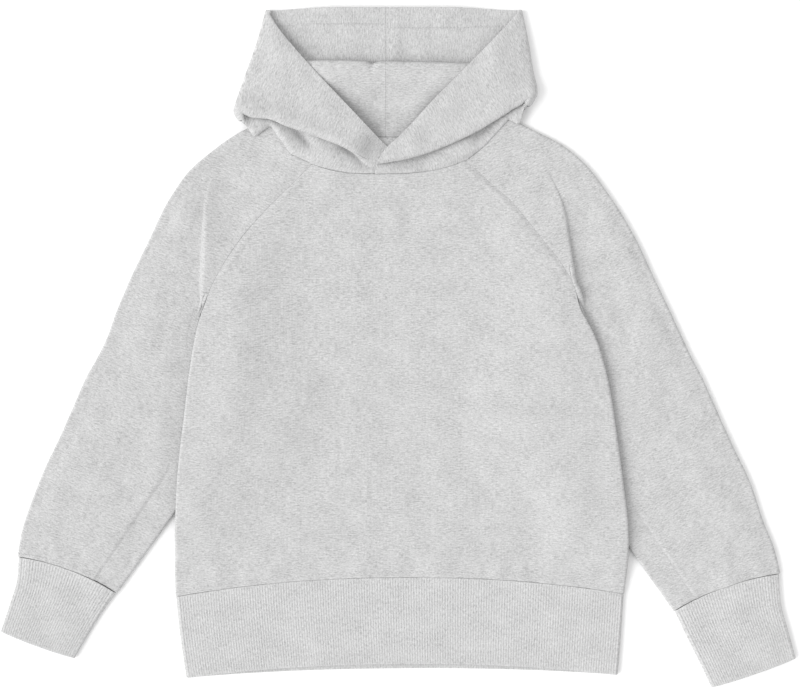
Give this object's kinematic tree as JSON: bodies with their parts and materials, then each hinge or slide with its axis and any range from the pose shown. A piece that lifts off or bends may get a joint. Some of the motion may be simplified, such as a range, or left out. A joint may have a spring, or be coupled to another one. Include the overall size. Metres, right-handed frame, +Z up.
{
  "type": "pullover hoodie laid flat",
  "caption": "Raglan-sleeve pullover hoodie in grey heather sweatshirt fleece, crossover hood, rib hem and cuffs, laid flat on its back.",
  "frame": {"origin": "centre of the laid garment's bounding box, on the surface it lies on", "axes": "+X to the viewer's right across the sleeves, +Y from the hem towards the hood, +Z up out of the garment's front"},
  "size_m": [0.6828, 0.5841, 0.0164],
  "materials": {
    "fleece": "light grey heather sweatshirt knit, matt",
    "rib": "light grey heather 1x1 rib knit, matt"
  },
  "bodies": {
    "root": {"body_front": "fleece", "body_back": "fleece", "sleeve_left": "fleece", "sleeve_right": "fleece", "hood_left": "fleece", "hood_right": "fleece", "hem_band": "rib", "cuff_left": "rib", "cuff_right": "rib"}
  },
  "joints": []
}
